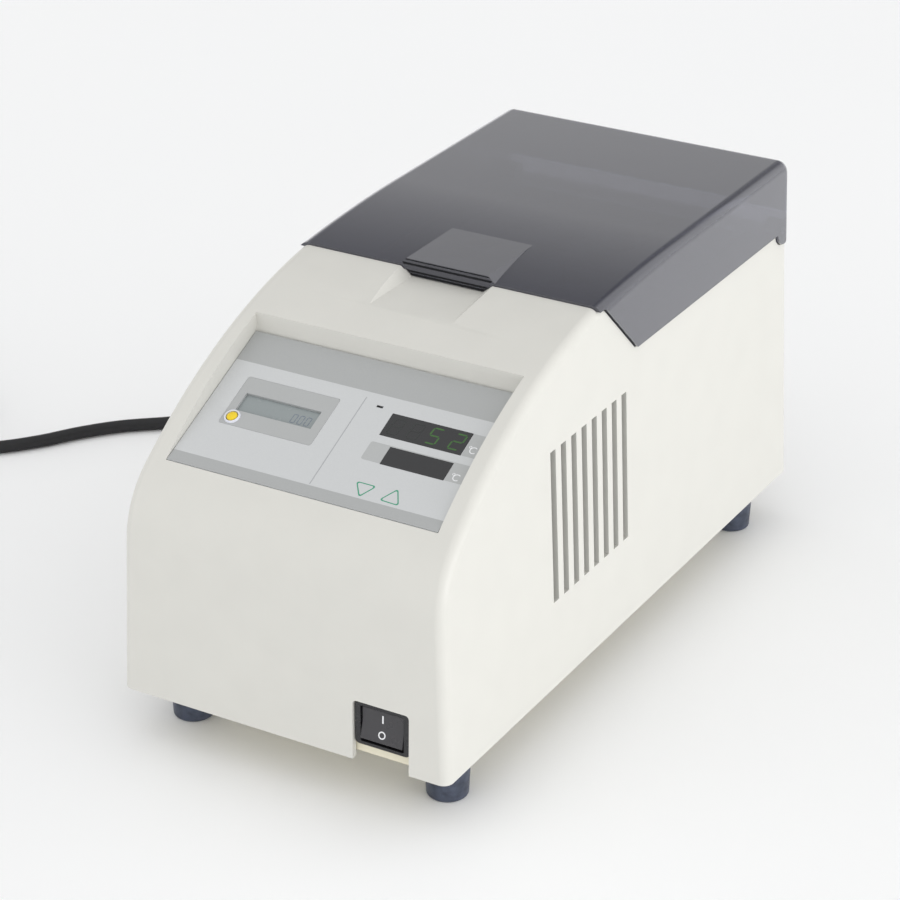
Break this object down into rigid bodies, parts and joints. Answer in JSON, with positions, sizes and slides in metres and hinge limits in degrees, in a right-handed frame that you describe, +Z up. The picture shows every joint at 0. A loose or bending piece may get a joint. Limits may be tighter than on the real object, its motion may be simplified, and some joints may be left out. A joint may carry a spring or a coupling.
{
  "type": "block incubator",
  "caption": "Bench heater with lift-out tube blocks under a hinged smoked lid, sloping control panel, side vents, rocker power switch, rubber feet and a mains cord.",
  "frame": {"origin": "on the bench, under the middle of the case (cord, coil, plug and strain relief not counted)", "axes": "+X to the operator's right across the case, +Y from the front to the rear, +Z up"},
  "size_m": [0.5576, 0.4784, 0.2047],
  "materials": {
    "ivory_plastic": "fine moulded satin",
    "cream_painted_steel": "satin powder coat",
    "smoked_acrylic": "smoked, translucent, polished",
    "blue_grey_rubber": "matt",
    "black_plastic": "satin",
    "grey_panel_film": "printed polyester film",
    "timer_grey_plastic": "satin",
    "lcd_glass": "plain",
    "yellow_button": "satin",
    "dark_lens": "polished",
    "aluminium": "anodised",
    "zinc_plated_steel": "zinc plated",
    "green_board": "solder resist",
    "insulation_foam": "felted insulation",
    "heater_silicone": "matt",
    "taped_coil": "taped",
    "black_cord": "satin"
  },
  "bodies": {
    "case": {"casing_cover": "ivory_plastic", "hinge_pin_left": "zinc_plated_steel", "hinge_pin_right": "zinc_plated_steel", "base_chassis": "cream_painted_steel", "foot_front_left": "blue_grey_rubber", "foot_front_right": "blue_grey_rubber", "foot_rear_left": "blue_grey_rubber", "foot_rear_right": "blue_grey_rubber", "foot_screw_front_left": "zinc_plated_steel", "foot_screw_front_right": "zinc_plated_steel", "foot_screw_rear_left": "zinc_plated_steel", "foot_screw_rear_right": "zinc_plated_steel", "cover_screw_front_left": "zinc_plated_steel", "cover_screw_front_right": "zinc_plated_steel", "cover_screw_rear_left": "zinc_plated_steel", "cover_screw_rear_right": "zinc_plated_steel", "front_panel": "grey_panel_film", "timer_module": "timer_grey_plastic", "timer_lcd": "lcd_glass", "temp_window": "dark_lens", "temp_display": "black_plastic", "set_window": "dark_lens", "set_display": "black_plastic", "heater_lamp": "dark_lens", "key_switch_down": "black_plastic", "key_switch_up": "black_plastic", "display_board": "green_board", "switch_body": "black_plastic", "chamber_tray": "zinc_plated_steel", "heater_plate": "aluminium", "temperature_sensor": "zinc_plated_steel", "film_heater": "heater_silicone", "thermal_cutout": "black_plastic", "insulation_jacket": "insulation_foam", "block_front": "aluminium", "block_rear": "aluminium", "control_board": "green_board", "standoff_1": "zinc_plated_steel", "standoff_2": "zinc_plated_steel", "standoff_3": "zinc_plated_steel", "standoff_4": "zinc_plated_steel", "fuse_holder": "black_plastic", "mains_fuse": "zinc_plated_steel", "terminal_block": "black_plastic", "transformer_core": "zinc_plated_steel", "transformer_coil": "taped_coil", "heatsink": "aluminium", "strain_relief": "black_plastic", "mains_cord": "black_cord", "cord_coil": "black_cord", "cord_tail": "black_cord", "plug": "black_plastic"},
    "lid": {"lid": "smoked_acrylic"},
    "rocker": {"switch_rocker": "black_plastic"},
    "timer_button": {"timer_button": "yellow_button"},
    "key_down": {"key_down": "grey_panel_film"},
    "key_up": {"key_up": "grey_panel_film"}
  },
  "joints": [
    {"name": "lid_hinge", "type": "hinge", "parent": "case", "child": "lid", "pos_m": [0, 0.1747, 0.1675], "axis": [-1, 0, 0], "range_deg": [0, 90]},
    {"name": "rocker_pivot", "type": "hinge", "parent": "case", "child": "rocker", "pos_m": [0.0538, -0.1783, 0.0446], "axis": [1, 0, 0], "range_deg": [0, 16]},
    {"name": "timer_button_press", "type": "slide", "parent": "case", "child": "timer_button", "axis": [0, 0.4147, -0.91], "range_m": [0, 0.0008], "stiffness_N_per_m": 400, "springref_m": -0.0004},
    {"name": "key_down_press", "type": "slide", "parent": "case", "child": "key_down", "axis": [0, 0.4147, -0.91], "range_m": [0, 0.0005], "stiffness_N_per_m": 800, "springref_m": -0.0003},
    {"name": "key_up_press", "type": "slide", "parent": "case", "child": "key_up", "axis": [0, 0.4147, -0.91], "range_m": [0, 0.0005], "stiffness_N_per_m": 800, "springref_m": -0.0003}
  ]
}
